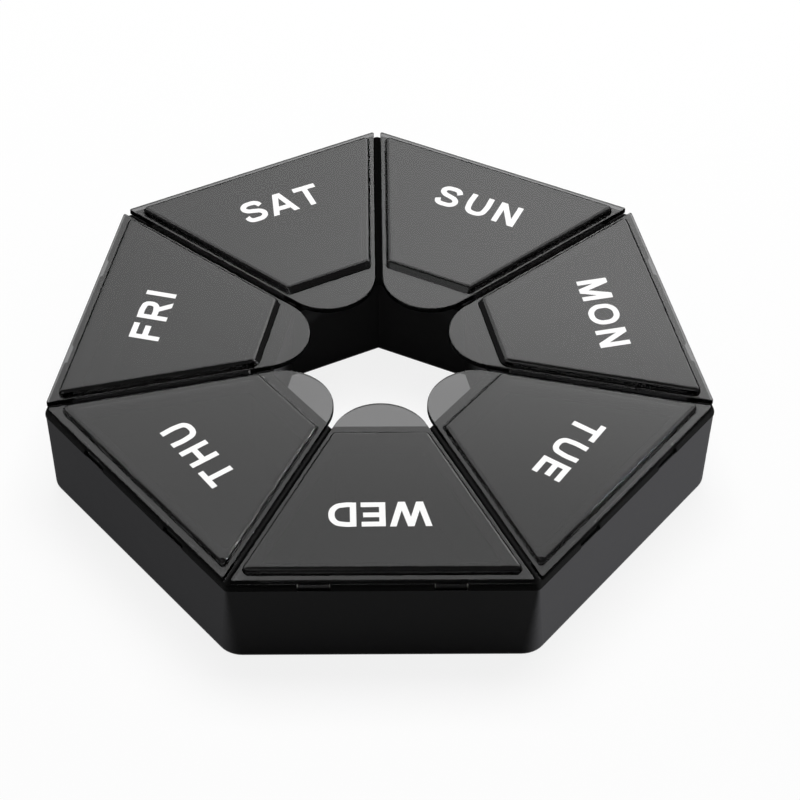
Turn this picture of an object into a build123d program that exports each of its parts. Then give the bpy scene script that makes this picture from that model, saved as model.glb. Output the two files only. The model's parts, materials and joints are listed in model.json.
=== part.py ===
from build123d import *

import os
from math import cos, pi, sin, tan

# Weekly pill case: a seven-sided moulded tray with a cup for each day, a see-through lid over
# each cup, and a steel pin that hinges each lid along the outer side of the case.
# Lengths are in millimetres. The case stands on z = 0 with one flat side towards -Y.

# Days in the order of the sides, from the front side and clockwise as seen from above
days = ("wednesday", "thursday", "friday", "saturday", "sunday", "monday", "tuesday")
side_count = len(days)

# Tray, outside
side_length = 50.0
tray_height = 17.5
side_draft = 0.23
face_corner_radius = 0.7
foot_corner_radius = 4.5

# Rim of the tray: a band round the top that stands slightly proud of the faces
band_height = 1.5
band_offset = 0.12
rim_corner_radius = 1.1
rim_edge_radius = 1.05

# Finger hole in the middle of the tray
hole_apothem = 17.05
hole_draft = 0.65
hole_edge_chamfer = 0.3

# Cups, and the walls that are left round them
outer_wall = 4.2
inner_wall = 5.05
divider_thickness = 5.8
floor_thickness = 1.5
cup_corner_radius = 0.8
cup_floor_radius = 2.4

# Hollow underside of the tray
skirt_wall = 1.5
ring_wall = 1.5
cup_wall = 1.2
rail_depth = 4.2

# Lid flange and thumb tab
seat_gap = 0.13
flange_thickness = 0.92
lid_gap = 1.2
tab_overhang = 4.68
flange_corner_radius = 0.3
flange_edge_radius = 0.2

# Raised top of the lid
plateau_height = 1.05
outer_strip = 1.45
side_strip = 0.7
tab_land = 2.15
plateau_corner_radius = 0.85
plateau_edge_radius = 0.75
outer_slope = 0.1
side_slope = 0.25
tab_slope = 1.0
lid_wall = 1.0
tab_side_wall = 1.9
top_thickness = 1.0

# Hinge along the outer side: two knuckles of the lid turn on one pin in the rim
hinge_inset = 1.1
hinge_drop = 1.5
pin_radius = 0.4
pin_length = 31.0
pin_chamfer = 0.1
pin_running_clearance = 0.05
pin_saddle_clearance = 0.03
pin_slot_width = 0.7
knuckle_radius = 0.8
knuckle_length = 5.0
knuckle_spacing = 22.0
arm_depth = 1.2
arm_setback = 0.15
notch_clearance = 0.15

# Closing stud under the lid, beside the thumb tab
stud_radius = 1.0
stud_length = 1.6
stud_chamfer = 0.3
stud_clearance = 0.15
stud_bottom_gap = 0.4

# How far a cutting shape runs past what it cuts
overrun = 1.0

upwards = Vector(0, 0, 1)

# Plan of the case, measured from the middle of the finger hole
half_angle = pi / side_count
rim_apothem = side_length / 2 / tan(half_angle)
foot_apothem = rim_apothem - side_draft
band_apothem = rim_apothem + band_offset
corner_reach = (band_apothem - rim_corner_radius) / cos(half_angle) + rim_corner_radius
middle_y = (band_apothem - corner_reach) / 2
plan = Plane((0, middle_y, 0))

# One plane for each side: its x runs along the side and its y points outwards
turn_per_side = 360 / side_count
sides = [plan.rotated((0, 0, 180 - index * turn_per_side)) for index in range(side_count)]

# Distances from the middle of the finger hole, and heights
cup_inner = hole_apothem + inner_wall
cup_outer = rim_apothem - outer_wall
cup_gap = divider_thickness / 2
hinge_reach = rim_apothem - hinge_inset
hinge_height = tray_height - hinge_drop
band_bottom = tray_height - band_height
flange_bottom = tray_height + seat_gap
flange_top = flange_bottom + flange_thickness
lid_top = flange_top + plateau_height
tab_tip = hole_apothem - tab_overhang
plateau_inner = hole_apothem + tab_land
plateau_outer = rim_apothem - outer_strip
plateau_gap = lid_gap / 2 + side_strip
stud_reach = hole_apothem + inner_wall / 2


def half_width(reach, gap):
    # Half the width, at this distance, of a wedge whose sides lie this gap inside the side's share
    return reach * tan(half_angle) - gap / cos(half_angle)


def wedge(plane, inner, outer, gap, corner_radius):
    # Outline of a piece of one side's share of the plan, with rounded corners
    near = half_width(inner, gap)
    far = half_width(outer, gap)
    with BuildSketch(plane) as outline:
        with BuildLine():
            Polyline((-near, inner), (near, inner), (far, outer), (-far, outer), close=True)
        make_face()
        fillet(outline.vertices(), radius=corner_radius)
    return outline.sketch


def heptagon(plane, apothem, corner_radius=0):
    # Outline of the whole case or of its finger hole, with a corner at the back
    with BuildSketch(plane) as outline:
        RegularPolygon(apothem, side_count, major_radius=False, rotation=90, align=None)
        if corner_radius:
            fillet(outline.vertices(), radius=corner_radius)
    return outline.sketch


# Inside of one cup: rounded in plan, and rounded along the floor on all four sides
cup_depth = tray_height - floor_thickness
cup_middle = (cup_inner + cup_outer) / 2
with BuildPart() as cup:
    add(wedge(Plane.XY.offset(floor_thickness), cup_inner, cup_outer, cup_gap, cup_corner_radius))
    extrude(amount=cup_depth + overrun)
    with BuildSketch(Plane.YZ) as radial_section:
        with Locations((cup_middle, floor_thickness)):
            Rectangle(cup_outer - cup_inner, cup_depth + overrun, align=(Align.CENTER, Align.MIN))
        fillet(radial_section.vertices().group_by(Axis.Y)[0], radius=cup_floor_radius)
    extrude(amount=side_length, both=True, mode=Mode.INTERSECT)
    for hand in (1, -1):
        wall_foot = (hand * half_width(cup_middle, cup_gap), cup_middle, floor_thickness)
        inwards = Vector(-hand * cos(half_angle), sin(half_angle), 0)
        with BuildSketch(Plane(wall_foot, x_dir=inwards, z_dir=inwards.cross(upwards))) as wall_section:
            Rectangle(side_length, cup_depth + overrun, align=(Align.MIN, Align.MIN))
            foot_corner = wall_section.vertices().group_by(Axis.Y)[0].sort_by(Axis.X)[0]
            fillet(foot_corner, radius=cup_floor_radius)
        extrude(amount=side_length, both=True, mode=Mode.INTERSECT)

# What the hinge of one side needs cut out of the rim: two notches that let the knuckles turn,
# and a groove with a round bottom that the pin snaps into from above
notch_radius = knuckle_radius + notch_clearance
notch_inner = hinge_reach - arm_setback - arm_depth - notch_clearance
notch_width = knuckle_length + 2 * notch_clearance
saddle_radius = pin_radius + pin_saddle_clearance
saddle_length = pin_length + 2 * pin_chamfer
above_hinge = hinge_drop + overrun
with BuildPart() as hinge_cut:
    with BuildSketch(Plane.YZ):
        with Locations((hinge_reach, hinge_height)):
            Circle(saddle_radius)
            Rectangle(pin_slot_width, above_hinge, align=(Align.CENTER, Align.MIN))
    extrude(amount=saddle_length / 2, both=True)
    for hand in (1, -1):
        with BuildSketch(Plane.YZ.offset(hand * knuckle_spacing / 2)):
            with Locations((hinge_reach, hinge_height)):
                Circle(notch_radius)
            with Locations((notch_inner, hinge_height - notch_clearance)):
                notch_reach = rim_apothem + overrun - notch_inner
                Rectangle(notch_reach, above_hinge + notch_clearance, align=(Align.MIN, Align.MIN))
        extrude(amount=notch_width / 2, both=True)

# Tray: one moulding with the finger hole, seven cups, the hinge cut-outs, a socket for each
# closing stud, and an underside that is hollow between the cups and the outer skirt
with BuildPart() as tray:
    add(heptagon(plan, foot_apothem, foot_corner_radius))
    add(heptagon(plan.offset(band_bottom), rim_apothem, face_corner_radius))
    loft()
    add(heptagon(plan.offset(band_bottom), band_apothem, rim_corner_radius))
    extrude(amount=band_height)
    fillet(tray.faces().sort_by(Axis.Z)[-1].edges(), radius=rim_edge_radius)
    add(heptagon(plan, hole_apothem + hole_draft))
    add(heptagon(plan.offset(tray_height), hole_apothem))
    loft(mode=Mode.SUBTRACT)
    chamfer(tray.faces().sort_by(Axis.Z)[-1].inner_wires()[0].edges(), length=hole_edge_chamfer)
    with Locations(*sides):
        add(cup.part, mode=Mode.SUBTRACT)
        add(hinge_cut.part, mode=Mode.SUBTRACT)
    with Locations(*[side.offset(tray_height) for side in sides]):
        with Locations((0, stud_reach)):
            Cylinder(stud_radius + stud_clearance, 2 * (stud_length + stud_bottom_gap), mode=Mode.SUBTRACT)
    with BuildSketch(plan):
        add(heptagon(Plane.XY, foot_apothem - skirt_wall, foot_corner_radius - skirt_wall))
        add(heptagon(Plane.XY, hole_apothem + hole_draft + ring_wall), mode=Mode.SUBTRACT)
        cup_shell = wedge(Plane.XY, cup_inner - cup_wall, cup_outer + cup_wall, cup_gap - cup_wall,
                          cup_corner_radius + cup_wall)
        with PolarLocations(0, side_count, start_angle=180):
            add(cup_shell, mode=Mode.SUBTRACT)
    extrude(amount=tray_height - rail_depth, mode=Mode.SUBTRACT)
tray.part.label = "base_tray"

# Lid for one side: a flat flange with a thumb tab, a raised hollow top, two hinge knuckles on
# arms, and a closing stud. The tab is one arc that runs smoothly into both side edges.
tab_middle = (tab_tip - lid_gap / 2) / (1 - sin(half_angle))
tab_radius = tab_middle - tab_tip
tab_end_x = tab_radius * cos(half_angle)
tab_end_y = tab_middle - tab_radius * sin(half_angle)
flange_corner_x = half_width(rim_apothem, lid_gap / 2)
with BuildPart() as lid_form:
    with BuildSketch(Plane.XY.offset(flange_bottom)) as flange_outline:
        with BuildLine():
            Polyline((tab_end_x, tab_end_y), (flange_corner_x, rim_apothem),
                     (-flange_corner_x, rim_apothem), (-tab_end_x, tab_end_y))
            ThreePointArc((-tab_end_x, tab_end_y), (0, tab_tip), (tab_end_x, tab_end_y))
        make_face()
        fillet(flange_outline.vertices().group_by(Axis.Y)[-1], radius=flange_corner_radius)
    extrude(amount=flange_thickness)
    fillet(lid_form.faces().sort_by(Axis.Z)[-1].edges(), radius=flange_edge_radius)
    add(wedge(Plane.XY.offset(flange_top), plateau_inner, plateau_outer, plateau_gap,
              plateau_corner_radius))
    add(wedge(Plane.XY.offset(lid_top), plateau_inner + tab_slope, plateau_outer - outer_slope,
              plateau_gap + side_slope, plateau_corner_radius))
    loft()
    fillet(lid_form.faces().sort_by(Axis.Z)[-1].edges(), radius=plateau_edge_radius)
    add(wedge(Plane.XY.offset(flange_bottom), plateau_inner + tab_side_wall, notch_inner,
              plateau_gap + lid_wall, plateau_corner_radius))
    extrude(amount=lid_top - top_thickness - flange_bottom, mode=Mode.SUBTRACT)
    with BuildSketch(Plane.XY.offset(flange_bottom)):
        with Locations((0, stud_reach)):
            Circle(stud_radius)
    extrude(amount=-stud_length)
    chamfer(lid_form.faces().sort_by(Axis.Z)[0].edges(), length=stud_chamfer)
    for hand in (1, -1):
        with BuildSketch(Plane.YZ.offset(hand * knuckle_spacing / 2)):
            with Locations((hinge_reach, hinge_height)):
                Circle(knuckle_radius)
            with Locations((hinge_reach - arm_setback, hinge_height)):
                Rectangle(arm_depth, flange_bottom - hinge_height, align=(Align.MAX, Align.MIN))
            with Locations((hinge_reach, hinge_height)):
                Circle(pin_radius + pin_running_clearance, mode=Mode.SUBTRACT)
        extrude(amount=knuckle_length / 2, both=True)

# Hinge pin for one side: a straight steel wire with chamfered ends
with BuildPart() as pin_form:
    with Locations(Plane((0, hinge_reach, hinge_height), z_dir=(1, 0, 0))):
        Cylinder(pin_radius, pin_length)
    chamfer(pin_form.edges().filter_by(GeomType.CIRCLE), length=pin_chamfer)

os.makedirs("parts", exist_ok=True)
export_step(tray.part, "parts/base_tray.step")
for day, side in zip(days, sides):
    with BuildPart() as lid:
        with Locations(side):
            add(lid_form.part)
    lid.part.label = "lid_" + day
    export_step(lid.part, "parts/lid_" + day + ".step")
    with BuildPart() as pin:
        with Locations(side):
            add(pin_form.part)
    pin.part.label = "hinge_pin_" + day
    export_step(pin.part, "parts/hinge_pin_" + day + ".step")
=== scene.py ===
import json
import math

import bmesh
import bpy
from mathutils import Matrix, Vector


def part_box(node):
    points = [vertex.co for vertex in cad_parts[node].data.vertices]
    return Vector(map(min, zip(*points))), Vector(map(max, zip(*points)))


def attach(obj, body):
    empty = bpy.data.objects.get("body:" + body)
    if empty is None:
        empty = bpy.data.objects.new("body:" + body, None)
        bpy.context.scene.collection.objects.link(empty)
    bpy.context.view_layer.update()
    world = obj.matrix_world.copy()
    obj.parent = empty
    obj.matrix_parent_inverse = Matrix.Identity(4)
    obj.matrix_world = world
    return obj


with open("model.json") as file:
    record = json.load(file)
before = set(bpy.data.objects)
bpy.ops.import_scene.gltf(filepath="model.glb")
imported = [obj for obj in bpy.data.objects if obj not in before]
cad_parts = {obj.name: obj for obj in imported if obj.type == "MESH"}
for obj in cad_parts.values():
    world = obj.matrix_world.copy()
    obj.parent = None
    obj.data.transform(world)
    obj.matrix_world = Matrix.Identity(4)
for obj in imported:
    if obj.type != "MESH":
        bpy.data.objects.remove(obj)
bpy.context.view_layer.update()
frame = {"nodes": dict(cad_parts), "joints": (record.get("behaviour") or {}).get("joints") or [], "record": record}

mm = 0.001
scene = bpy.context.scene

# The middle of the finger hole is where the seven hinges balance
hinges = {joint["child"].replace("_lid", ""): joint for joint in frame["joints"]}
hingeSpots = [Vector(joint["pos_m"]) for joint in hinges.values()]
caseMiddle = sum(hingeSpots, Vector()) / len(hingeSpots)
caseMiddle.z = 0
print("frame: middle of the case at", [round(c / mm, 3) for c in caseMiddle])


def linearColour(hexCode):
    parts = [int(hexCode[i:i + 2], 16) / 255 for i in (1, 3, 5)]
    return [p / 12.92 if p <= 0.04045 else ((p + 0.055) / 1.055) ** 2.4 for p in parts] + [1.0]


# Camera: the photograph's angle, found from the corners and the outline of the case
photoCamera = {
    "azimuth": -1.26,                 # degrees, seen from the front
    "elevation": 45.44,
    "roll": 0.71,
    "distance": 549.2,                # mm, from the middle of the case
    "lens": 141.56,                   # mm
    "sensor": 36.0,                   # mm
    "pictureSize": 800,               # pixels
    "middlePixel": (379.31, 426.62),  # where the middle of the case falls in the picture
    "clip": (0.05, 20),               # m
}


def makeCamera():
    c = photoCamera
    azimuth, elevation, roll = (math.radians(c[k]) for k in ("azimuth", "elevation", "roll"))
    back = Vector((math.sin(azimuth) * math.cos(elevation),
                   -math.cos(azimuth) * math.cos(elevation), math.sin(elevation)))
    level = Vector((math.cos(azimuth), math.sin(azimuth), 0))
    rise = back.cross(level)
    right = level * math.cos(roll) + rise * math.sin(roll)
    up = rise * math.cos(roll) - level * math.sin(roll)
    pixel = c["distance"] * c["sensor"] / c["lens"] / c["pictureSize"]
    offX = (c["middlePixel"][0] - c["pictureSize"] / 2) * pixel
    offY = (c["pictureSize"] / 2 - c["middlePixel"][1]) * pixel
    camera = bpy.data.objects.new("camera", bpy.data.cameras.new("camera"))
    camera.data.lens = c["lens"]
    camera.data.sensor_width = c["sensor"]
    camera.data.clip_start, camera.data.clip_end = c["clip"]
    turn = Matrix((right, up, back)).transposed().to_4x4()
    spot = caseMiddle + (back * c["distance"] - right * offX - up * offY) * mm
    camera.matrix_world = Matrix.Translation(spot) @ turn
    scene.collection.objects.link(camera)
    scene.camera = camera


makeCamera()
print("camera made")


# Materials. Noise mostly lies between the two values of noiseSpread, and each finish runs from
# its smoothest to its roughest across them.
noiseSpread = {"from_min": 0.3, "from_max": 0.7}


def newMaterial(name):
    material = bpy.data.materials.new(name)
    material.use_nodes = True
    material.node_tree.nodes.clear()
    return material


def addNode(tree, kind, settings=None, values=(), **inputs):
    # values go to the sockets in their order, inputs to the sockets with those names
    node = tree.nodes.new(kind)
    for key, value in (settings or {}).items():
        setattr(node, key, value)
    pairs = list(zip(node.inputs, values))
    for key, value in inputs.items():
        name = key.replace("_", " ")
        pairs.append((next(s for s in node.inputs if s.enabled and s.name.lower() == name), value))
    for socket, value in pairs:
        if isinstance(value, bpy.types.NodeSocket):
            tree.links.new(value, socket)
        else:
            socket.default_value = value
    return node


def finishMaterial(material, **shaders):
    addNode(material.node_tree, "ShaderNodeOutputMaterial", **shaders)
    return material


# Black ABS: the faces come from a spark-eroded mould and are satin, the rim band above the
# parting line comes from the polished half of the mould and mirrors like glass
trayFinish = {
    "colour": "#242425",
    "satin": (0.46, 0.56),        # roughness of the faces
    "polishedColour": "#0A0A0A",  # painted shade: the band under the lid flanges is coloured darker than the satin faces
    "polish": 0.07,               # roughness of the band
    "bandBottom": 16.0,           # mm above the floor
    "bandBlend": 0.08,            # mm
    "grainSize": 0.35,            # mm
    "grainDepth": 0.004,          # mm
    "grainStrength": 0.15,
    "waveSize": 14.0,             # mm
    "ior": 1.5,
}


def blackAbs():
    f = trayFinish
    material = newMaterial("blackAbs")
    tree = material.node_tree
    where = addNode(tree, "ShaderNodeTexCoord").outputs["Object"]
    height = addNode(tree, "ShaderNodeSeparateXYZ", vector=where).outputs["Z"]
    band = addNode(tree, "ShaderNodeMapRange", value=height, from_min=f["bandBottom"] * mm,
                   from_max=(f["bandBottom"] + f["bandBlend"]) * mm).outputs["Result"]
    wave = addNode(tree, "ShaderNodeTexNoise", vector=where, scale=1 / (f["waveSize"] * mm), detail=2.0)
    grain = addNode(tree, "ShaderNodeTexNoise", vector=where, scale=1 / (f["grainSize"] * mm), detail=3.0)
    satin = addNode(tree, "ShaderNodeMapRange", value=wave.outputs["Fac"], to_min=f["satin"][0],
                    to_max=f["satin"][1], **noiseSpread)
    rough = addNode(tree, "ShaderNodeMix", a=satin.outputs["Result"], b=f["polish"], factor=band)
    fade = addNode(tree, "ShaderNodeMapRange", value=band, to_min=f["grainStrength"], to_max=0.0)
    bump = addNode(tree, "ShaderNodeBump", height=grain.outputs["Fac"], strength=fade.outputs["Result"],
                   distance=f["grainDepth"] * mm)
    # painted shade: above bandBottom the colour turns darker, standing in for the shade under the lid flanges; the
    # low roughness there is the real polish
    shadeTint = addNode(tree, "ShaderNodeMix", {"data_type": "RGBA"}, a=linearColour(f["colour"]),
                   b=linearColour(f["polishedColour"]), factor=band)
    skin = addNode(tree, "ShaderNodeBsdfPrincipled", base_color=shadeTint.outputs[2],
                   roughness=rough.outputs["Result"], ior=f["ior"], normal=bump.outputs["Normal"])
    return finishMaterial(material, surface=skin.outputs["BSDF"])


# Smoke-tinted polystyrene from a polished mould: clear in thin walls, black where the light
# has a long way through, with a mirror-like skin
lidFinish = {
    "skin": "#F4F4F5",
    "hingeSkin": "#0E0E0F",     # painted shade: the knuckles and the stud below the flange are coloured darker
    "hingeTop": (17.45, 17.6),  # mm above the floor, where the painted shade ends
    "smoke": 1640.0,            # per metre, so a fifth of the light gets through 1 mm
    "roughness": (0.015, 0.035),
    "waveSize": 9.0,            # mm
    "waveDepth": 0.002,         # mm
    "waveStrength": 0.2,
    "ior": 1.58,
}


def smokeStyrene():
    f = lidFinish
    material = newMaterial("smokeStyrene")
    tree = material.node_tree
    where = addNode(tree, "ShaderNodeTexCoord").outputs["Object"]
    wave = addNode(tree, "ShaderNodeTexNoise", vector=where, scale=1 / (f["waveSize"] * mm), detail=2.0)
    rough = addNode(tree, "ShaderNodeMapRange", value=wave.outputs["Fac"], to_min=f["roughness"][0],
                    to_max=f["roughness"][1], **noiseSpread)
    bump = addNode(tree, "ShaderNodeBump", height=wave.outputs["Fac"], strength=f["waveStrength"],
                   distance=f["waveDepth"] * mm)
    # painted shade: below hingeTop the lid's skin is coloured dark, standing in for shade under the flange
    height = addNode(tree, "ShaderNodeSeparateXYZ", vector=where).outputs["Z"]
    above = addNode(tree, "ShaderNodeMapRange", value=height, from_min=f["hingeTop"][0] * mm,
                    from_max=f["hingeTop"][1] * mm)
    shadeTint = addNode(tree, "ShaderNodeMix", {"data_type": "RGBA"}, a=linearColour(f["hingeSkin"]),
                   b=linearColour(f["skin"]), factor=above.outputs["Result"])
    skin = addNode(tree, "ShaderNodeBsdfPrincipled", base_color=shadeTint.outputs[2],
                   roughness=rough.outputs["Result"], ior=f["ior"], transmission_weight=1.0,
                   normal=bump.outputs["Normal"])
    smoke = addNode(tree, "ShaderNodeVolumeAbsorption", color=[0, 0, 0, 1], density=f["smoke"])
    return finishMaterial(material, surface=skin.outputs["BSDF"], volume=smoke.outputs["Volume"])


# Drawn stainless wire: fine scratches break up the shine of the pin
pinFinish = {
    "colour": "#C9C8C4",
    "roughness": (0.2, 0.4),
    "scratchSize": 0.06,  # mm
}


def drawnSteel():
    f = pinFinish
    material = newMaterial("drawnSteel")
    tree = material.node_tree
    where = addNode(tree, "ShaderNodeTexCoord").outputs["Object"]
    scratch = addNode(tree, "ShaderNodeTexNoise", vector=where, scale=1 / (f["scratchSize"] * mm),
                      detail=2.0)
    rough = addNode(tree, "ShaderNodeMapRange", value=scratch.outputs["Fac"], to_min=f["roughness"][0],
                    to_max=f["roughness"][1], **noiseSpread)
    skin = addNode(tree, "ShaderNodeBsdfPrincipled", base_color=linearColour(f["colour"]), metallic=1.0,
                   roughness=rough.outputs["Result"])
    return finishMaterial(material, surface=skin.outputs["BSDF"])


# White pad-print ink: thin, matt, with a slightly uneven film
inkFinish = {
    "colour": "#FBFBFA",
    "roughness": (0.4, 0.55),
    "specular": 0.3,
    "mottleSize": 0.5,  # mm
}


def whiteInk():
    f = inkFinish
    material = newMaterial("whiteInk")
    tree = material.node_tree
    where = addNode(tree, "ShaderNodeTexCoord").outputs["Object"]
    mottle = addNode(tree, "ShaderNodeTexNoise", vector=where, scale=1 / (f["mottleSize"] * mm),
                     detail=2.0)
    rough = addNode(tree, "ShaderNodeMapRange", value=mottle.outputs["Fac"], to_min=f["roughness"][0],
                    to_max=f["roughness"][1], **noiseSpread)
    skin = addNode(tree, "ShaderNodeBsdfPrincipled", base_color=linearColour(f["colour"]),
                   roughness=rough.outputs["Result"], specular_ior_level=f["specular"])
    return finishMaterial(material, surface=skin.outputs["BSDF"])


finishes = {"tray_plastic": blackAbs(), "lid_plastic": smokeStyrene(), "pin_steel": drawnSteel()}
for entry in frame["record"]["subparts"]:
    node = frame["nodes"][entry["node"]]
    node.data.materials.clear()
    node.data.materials.append(finishes[entry["material_slot"]])
print("materials on", len(frame["nodes"]), "nodes")


# Day names: thin printed ink on the raised top of each lid, in a bold plain sans-serif. Each
# word's middle is mm to the right as it reads and mm outwards from the middle of the case, its
# width is in mm and its turn in degrees.
dayNames = {
    "capHeight": 5.25,      # mm
    "film": 0.02,           # mm
    "layer": 0.002,         # mm, so that no two strokes lie in one plane
    "lift": 0.005,          # mm above the lid, where the film begins
    "trim": 0.3,            # cap heights that a slanted stroke runs on before it is cut level
    "overshoot": 0.012,     # cap heights past the letter's top and foot, where the cut is
    "roundness": 8,         # steps between two points of a curved stroke
    "words": {
        "wednesday": {"middle": (0.3, 38.7), "width": 16.7, "turn": 0.65},
        "thursday": {"middle": (-0.95, 39.05), "width": 15.5, "turn": -2.8},
        "friday": {"middle": (-1.1, 39.65), "width": 11.85, "turn": -0.65},
        "saturday": {"middle": (0.2, 40.35), "width": 14.8, "turn": -1.8},
        "sunday": {"middle": (0.5, 39.95), "width": 15.65, "turn": 0.45},
        "monday": {"middle": (0.6, 39.4), "width": 16.8, "turn": -1.05},
        "tuesday": {"middle": (-0.45, 39.35), "width": 15.1, "turn": 4.05},
    },
}

# Middle lines of the strokes in cap heights, after each letter's width. Two points make a straight
# stroke and more make a curved one, closed where it ends at its start.
stroke = 0.195
half = stroke / 2
letterShapes = {
    "A": (0.94, [((0.1, 0), (0.44, 1)), ((0.84, 0), (0.5, 1)), ((0.2, 0.28), (0.74, 0.28))]),
    "D": (0.86, [((half, 0), (half, 1)),
                 ((0.02, 1 - half), (0.36, 1 - half), (0.64, 0.81), (0.86 - half, 0.5), (0.64, 0.19),
                  (0.36, half), (0.02, half))]),
    "E": (0.76, [((half, 0), (half, 1)), ((0, 1 - half), (0.74, 1 - half)), ((0, 0.52), (0.69, 0.52)),
                 ((0, half), (0.76, half))]),
    "F": (0.7, [((half, 0), (half, 1)), ((0, 1 - half), (0.7, 1 - half)), ((0, 0.5), (0.63, 0.5))]),
    "H": (0.8, [((half, 0), (half, 1)), ((0.8 - half, 0), (0.8 - half, 1)),
                ((0.05, 0.53), (0.75, 0.53))]),
    "I": (stroke, [((half, 0), (half, 1))]),
    "M": (0.96, [((half, 0), (half, 1)), ((0.96 - half, 0), (0.96 - half, 1)),
                 ((0.13, 1), (0.48, 0)), ((0.83, 1), (0.48, 0))]),
    "N": (0.8, [((half, 0), (half, 1)), ((0.8 - half, 0), (0.8 - half, 1)), ((0.11, 1), (0.69, 0))]),
    "O": (0.96, [((half, 0.5), (0.19, 0.79), (0.48, 1.01 - half), (0.77, 0.79), (0.96 - half, 0.5),
                  (0.77, 0.21), (0.48, half - 0.01), (0.19, 0.21), (half, 0.5))]),
    "R": (0.87, [((half, 0), (half, 1)),
                 ((0.02, 1 - half), (0.5, 1 - half), (0.66, 0.85), (0.71, 0.7), (0.66, 0.54),
                  (0.5, 0.47), (0.02, 0.47)),
                 ((0.42, 0.5), (0.76, 0))]),
    "S": (0.84, [((0.74, 0.72), (0.64, 0.87), (0.42, 1.01 - half), (0.21, 0.86), (0.14, 0.72),
                  (0.23, 0.59), (0.44, 0.52), (0.66, 0.43), (0.73, 0.28), (0.63, 0.13),
                  (0.41, half - 0.01), (0.18, 0.13), (0.1, 0.3))]),
    "T": (0.8, [((0.4, 0), (0.4, 1)), ((0, 1 - half), (0.8, 1 - half))]),
    "U": (0.8, [((half, 1), (half, 0.4), (0.17, 0.17), (0.4, half - 0.01), (0.63, 0.17),
                 (0.8 - half, 0.4), (0.8 - half, 1))]),
    "W": (1.28, [((0.09, 1), (0.35, 0)), ((0.64, 1), (0.37, 0)), ((0.64, 1), (0.91, 0)),
                 ((1.19, 1), (0.93, 0))]),
}


def addStroke(curve, points, shift, layer):
    closed = points[0] == points[-1]
    points = [Vector((x + shift, y, layer)) for x, y in (points[:-1] if closed else points)]
    if len(points) == 2:
        along = points[1] - points[0]
        if along.x and along.y:
            run = along.normalized() * dayNames["trim"]
            ends = points[0] - run, points[1] + run
            points = [end if point.y in (0, 1) else point for end, point in zip(ends, points)]
        spline = curve.splines.new("POLY")
        spline.points.add(1)
        for spot, point in zip(spline.points, points):
            spot.co = point.to_4d()
            spot.tilt = math.pi / 2  # lays the ribbon flat
        return
    spline = curve.splines.new("BEZIER")
    spline.bezier_points.add(len(points) - 1)
    spline.use_cyclic_u = closed
    for spot, point in zip(spline.bezier_points, points):
        spot.co = point
        spot.handle_left_type = spot.handle_right_type = "AUTO"
        spot.tilt = math.pi / 2


def printDay(day, joint, ink):
    f = dayNames
    word = f["words"][day]
    name = day[:3].upper()
    cap = f["capHeight"]
    space = (word["width"] / cap - sum(letterShapes[letter][0] for letter in name)) / (len(name) - 1)
    curve = bpy.data.curves.new("day", "CURVE")
    curve.dimensions = "3D"
    curve.twist_mode = "Z_UP"
    curve.extrude = half
    curve.resolution_u = f["roundness"]
    shift = -word["width"] / cap / 2
    layer = 0
    for letter in name:
        width, strokes = letterShapes[letter]
        for points in strokes:
            addStroke(curve, points, shift, layer * f["layer"] / cap)
            layer += 1
        shift += width + space
    holder = bpy.data.objects.new("day", curve)
    scene.collection.objects.link(holder)
    bpy.context.view_layer.update()
    mesh = bpy.data.meshes.new_from_object(holder)
    bpy.data.objects.remove(holder)

    form = bmesh.new()
    form.from_mesh(mesh)
    for line, outside in ((1 + f["overshoot"], (0, 1, 0)), (-f["overshoot"], (0, -1, 0))):
        bmesh.ops.bisect_plane(form, geom=form.verts[:] + form.edges[:] + form.faces[:],
                               plane_co=(0, line, 0), plane_no=outside, clear_outer=True)
    grown = bmesh.ops.extrude_face_region(form, geom=form.faces[:], use_keep_orig=True)
    raised = [g for g in grown["geom"] if isinstance(g, bmesh.types.BMVert)]
    bmesh.ops.translate(form, verts=raised, vec=(0, 0, f["film"] / cap))
    bmesh.ops.recalc_face_normals(form, faces=form.faces)
    for face in form.faces:
        face.smooth = False
    form.to_mesh(mesh)
    form.free()

    piece = bpy.data.objects.new("letters_" + day, mesh)
    scene.collection.objects.link(piece)
    outwards = Vector(joint["pos_m"]) - caseMiddle
    outwards.z = 0
    outwards.normalize()
    reading = -Vector(joint["axis"])
    right, out = word["middle"]
    spot = caseMiddle + (reading * right + outwards * out) * mm
    spot.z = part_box("lid_" + day)[1].z + f["lift"] * mm
    frameTurn = Matrix((reading, outwards, Vector((0, 0, 1)))).transposed().to_4x4()
    mesh.transform(Matrix.Translation(spot) @ frameTurn
                   @ Matrix.Rotation(math.radians(word["turn"]), 4, "Z")
                   @ Matrix.Scale(cap * mm, 4) @ Matrix.Translation((0, -0.5, 0)))
    mesh.materials.clear()
    mesh.materials.append(ink)
    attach(piece, day + "_lid")
    return piece


ink = whiteInk()
letters = [printDay(day, joint, ink) for day, joint in hinges.items()]
print("letters printed")


# Floor and light
studio = {
    "floorSize": 3.0,          # m
    "floorColour": "#F2F2F2",
    "floorGlow": 0.85,         # share of the floor's white that is its own
    "ambient": 0.2,            # strength of the even light from all round
    "clothRadius": 1.1,        # m, black cloth round the case that only mirror rays see
    "clothLift": 0.2,          # mm above the floor
    "clothTone": 0.02,         # brightness where 1 is white, and so is the tent's
    "tentRadius": 1.5,         # m, dark tent with bright panels, seen in and through the lids
    "tentTone": 0.12,
}

# Bright panels of the tent. Directions are degrees from the back, to the right, and above the
# floor: each edge runs from where the panel begins to where it is at full strength.
panels = {
    "back": {"left": (-22, 14), "right": (75, 45), "bottom": (15, 28), "top": (50, 43),
             "radiance": 1.25},
    "overhead": {"left": (-100, -75), "right": (100, 75), "bottom": (15, 28), "top": (86, 70),
                 "radiance": 1.05},
    "frontLeft": {"left": (-185, -170), "right": (-110, -130), "bottom": (10, 20), "top": (50, 40),
                  "radiance": 0.5},
}

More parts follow.
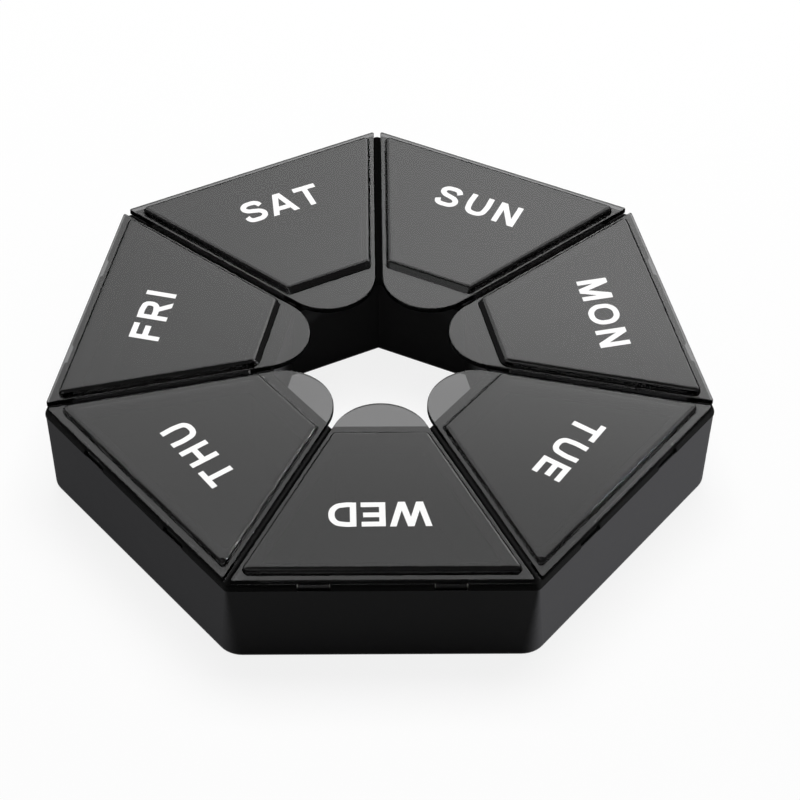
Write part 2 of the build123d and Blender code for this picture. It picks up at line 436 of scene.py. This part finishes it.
# Lamps round the case: azimuth from the back and elevation in degrees, distance and size in
# metres, the brightness of the lamp's face where 1 is white, and whether it lights the floor and
# the white ink too. No lamp shows in the gloss.
lamps = {
    "rightStrip": {"azimuth": 84, "elevation": 14, "distance": 0.9, "size": (0.35, 0.35),
                   "radiance": 114, "lightsWhites": False},
    "leftStrip": {"azimuth": -84, "elevation": 14, "distance": 0.9, "size": (0.35, 0.35),
                  "radiance": 42, "lightsWhites": False},
    "topBox": {"azimuth": 8, "elevation": 66, "distance": 1.0, "size": (0.8, 0.5),
               "radiance": 8.2, "lightsWhites": True},
}


def backgroundShare(tree):
    # Rays that see the white background: from the camera, mirrored, and through clear plastic
    path = addNode(tree, "ShaderNodeLightPath").outputs
    seen = addNode(tree, "ShaderNodeMath", {"operation": "MAXIMUM"},
                   (path["Is Camera Ray"], path["Is Transmission Ray"])).outputs[0]
    return addNode(tree, "ShaderNodeMath", {"operation": "MAXIMUM"},
                   (seen, path["Is Glossy Ray"])).outputs[0]


def stagePiece(name, form, material):
    mesh = bpy.data.meshes.new(name)
    form.to_mesh(mesh)
    form.free()
    piece = bpy.data.objects.new(name, mesh)
    scene.collection.objects.link(piece)
    mesh.materials.append(material)
    return piece


def makeFloor():
    form = bmesh.new()
    bmesh.ops.create_grid(form, x_segments=1, y_segments=1, size=studio["floorSize"] / 2)
    material = newMaterial("paleFloor")
    tree = material.node_tree
    matt = addNode(tree, "ShaderNodeBsdfDiffuse", color=linearColour(studio["floorColour"]))
    glow = addNode(tree, "ShaderNodeEmission", color=[1, 1, 1, 1], strength=1.0)
    share = addNode(tree, "ShaderNodeMath", {"operation": "MULTIPLY"},
                    (backgroundShare(tree), studio["floorGlow"])).outputs[0]
    mix = addNode(tree, "ShaderNodeMixShader", values=(share, matt.outputs[0], glow.outputs[0]))
    return stagePiece("floor", form, finishMaterial(material, surface=mix.outputs[0]))


def makeWorld():
    world = bpy.data.worlds.new("studio")
    scene.world = world
    world.use_nodes = True
    tree = world.node_tree
    tree.nodes.clear()
    ambient = addNode(tree, "ShaderNodeBackground", color=[1, 1, 1, 1], strength=studio["ambient"])
    white = addNode(tree, "ShaderNodeBackground", color=[1, 1, 1, 1], strength=1.0)
    mix = addNode(tree, "ShaderNodeMixShader",
                  values=(backgroundShare(tree), ambient.outputs[0], white.outputs[0]))
    addNode(tree, "ShaderNodeOutputWorld", surface=mix.outputs[0])


def hideFrom(piece, *kinds):
    for kind in kinds:
        setattr(piece, "visible_" + kind, False)


def keepLightOff(light, pieces):
    group = bpy.data.collections.new(light.name + " misses")
    for piece in pieces:
        group.objects.link(piece)
    for member in group.collection_objects:
        member.light_linking.link_state = "EXCLUDE"
    light.light_linking.receiver_collection = group


def makeCloth():
    form = bmesh.new()
    bmesh.ops.create_circle(form, cap_ends=True, segments=64, radius=studio["clothRadius"])
    bmesh.ops.translate(form, verts=form.verts,
                        vec=caseMiddle + Vector((0, 0, studio["clothLift"] * mm)))
    material = newMaterial("blackCloth")
    material.cycles.emission_sampling = "NONE"
    dark = addNode(material.node_tree, "ShaderNodeEmission", color=[1, 1, 1, 1],
                   strength=studio["clothTone"])
    cloth = stagePiece("cloth", form, finishMaterial(material, surface=dark.outputs[0]))
    hideFrom(cloth, "camera", "diffuse", "transmission", "volume_scatter", "shadow")


def makeTent():
    form = bmesh.new()
    bmesh.ops.create_uvsphere(form, u_segments=48, v_segments=24, radius=studio["tentRadius"])
    material = newMaterial("tent")
    material.cycles.emission_sampling = "NONE"
    tree = material.node_tree
    where = addNode(tree, "ShaderNodeTexCoord").outputs["Object"]
    ray = addNode(tree, "ShaderNodeVectorMath", {"operation": "NORMALIZE"}, vector=where).outputs[0]
    ray = addNode(tree, "ShaderNodeSeparateXYZ", vector=ray).outputs
    azimuth = addNode(tree, "ShaderNodeMath", {"operation": "ARCTAN2"}, (ray["X"], ray["Y"])).outputs[0]
    azimuth = addNode(tree, "ShaderNodeMath", {"operation": "DEGREES"}, (azimuth,)).outputs[0]
    elevation = addNode(tree, "ShaderNodeMath", {"operation": "ARCSINE"}, (ray["Z"],)).outputs[0]
    elevation = addNode(tree, "ShaderNodeMath", {"operation": "DEGREES"}, (elevation,)).outputs[0]
    angles = {"left": azimuth, "right": azimuth, "bottom": elevation, "top": elevation}
    total = studio["tentTone"]
    for panel in panels.values():
        share = panel["radiance"]
        for edge, angle in angles.items():
            begin, full = panel[edge]
            ramp = addNode(tree, "ShaderNodeMapRange", {"interpolation_type": "SMOOTHSTEP"}, value=angle,
                           from_min=begin, from_max=full).outputs["Result"]
            share = addNode(tree, "ShaderNodeMath", {"operation": "MULTIPLY"}, (ramp, share)).outputs[0]
        total = addNode(tree, "ShaderNodeMath", {"operation": "ADD"}, (share, total)).outputs[0]
    glow = addNode(tree, "ShaderNodeEmission", color=[1, 1, 1, 1], strength=total)
    tent = stagePiece("tent", form, finishMaterial(material, surface=glow.outputs[0]))
    hideFrom(tent, "camera", "diffuse", "volume_scatter", "shadow")
    keepLightOff(tent, [frame["nodes"]["base_tray"]])


def makeLamp(name, azimuth, elevation, distance, size, radiance, lightsWhites):
    a, e = math.radians(azimuth), math.radians(elevation)
    towards = Vector((math.sin(a) * math.cos(e), math.cos(a) * math.cos(e), math.sin(e)))
    lamp = bpy.data.lights.new(name, "AREA")
    lamp.shape = "RECTANGLE"
    lamp.size, lamp.size_y = size
    lamp.energy = radiance * math.pi * size[0] * size[1]  # watts that give this radiance
    holder = bpy.data.objects.new(name, lamp)
    holder.matrix_world = (Matrix.Translation(caseMiddle + towards * distance)
                           @ towards.to_track_quat("Z", "Y").to_matrix().to_4x4())
    scene.collection.objects.link(holder)
    hideFrom(holder, "glossy")
    if not lightsWhites:
        keepLightOff(holder, [floor] + letters)


floor = makeFloor()
makeWorld()
makeCloth()
makeTent()
for name, lamp in lamps.items():
    makeLamp(name, **lamp)
scene.view_settings.view_transform = "Standard"
print("floor and light made")
